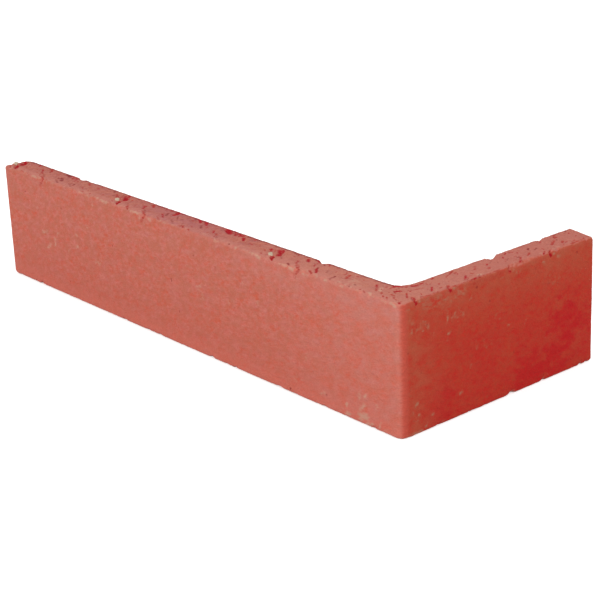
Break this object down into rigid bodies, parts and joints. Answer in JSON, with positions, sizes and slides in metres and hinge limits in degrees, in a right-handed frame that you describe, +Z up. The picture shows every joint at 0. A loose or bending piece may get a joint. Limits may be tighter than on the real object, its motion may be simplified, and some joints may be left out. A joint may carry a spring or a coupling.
{
  "type": "corner brick slip",
  "caption": "L-shaped fired-clay facing tile that covers an outside wall corner, with a long and a short leg of one thickness, worn arrises and small chips.",
  "frame": {"origin": "centre of the bounding box's footprint, on the lower bed", "axes": "+X along the long leg towards the outside corner, +Y along the short leg away from the long face, +Z up the course, from the lower bed to the upper bed"},
  "size_m": [0.25, 0.1, 0.05],
  "materials": {
    "fired_clay": "matt, dry, sand-textured face with pale lime flecks, pits and worn arrises"
  },
  "bodies": {
    "root": {"corner_slip": "fired_clay"}
  },
  "joints": []
}
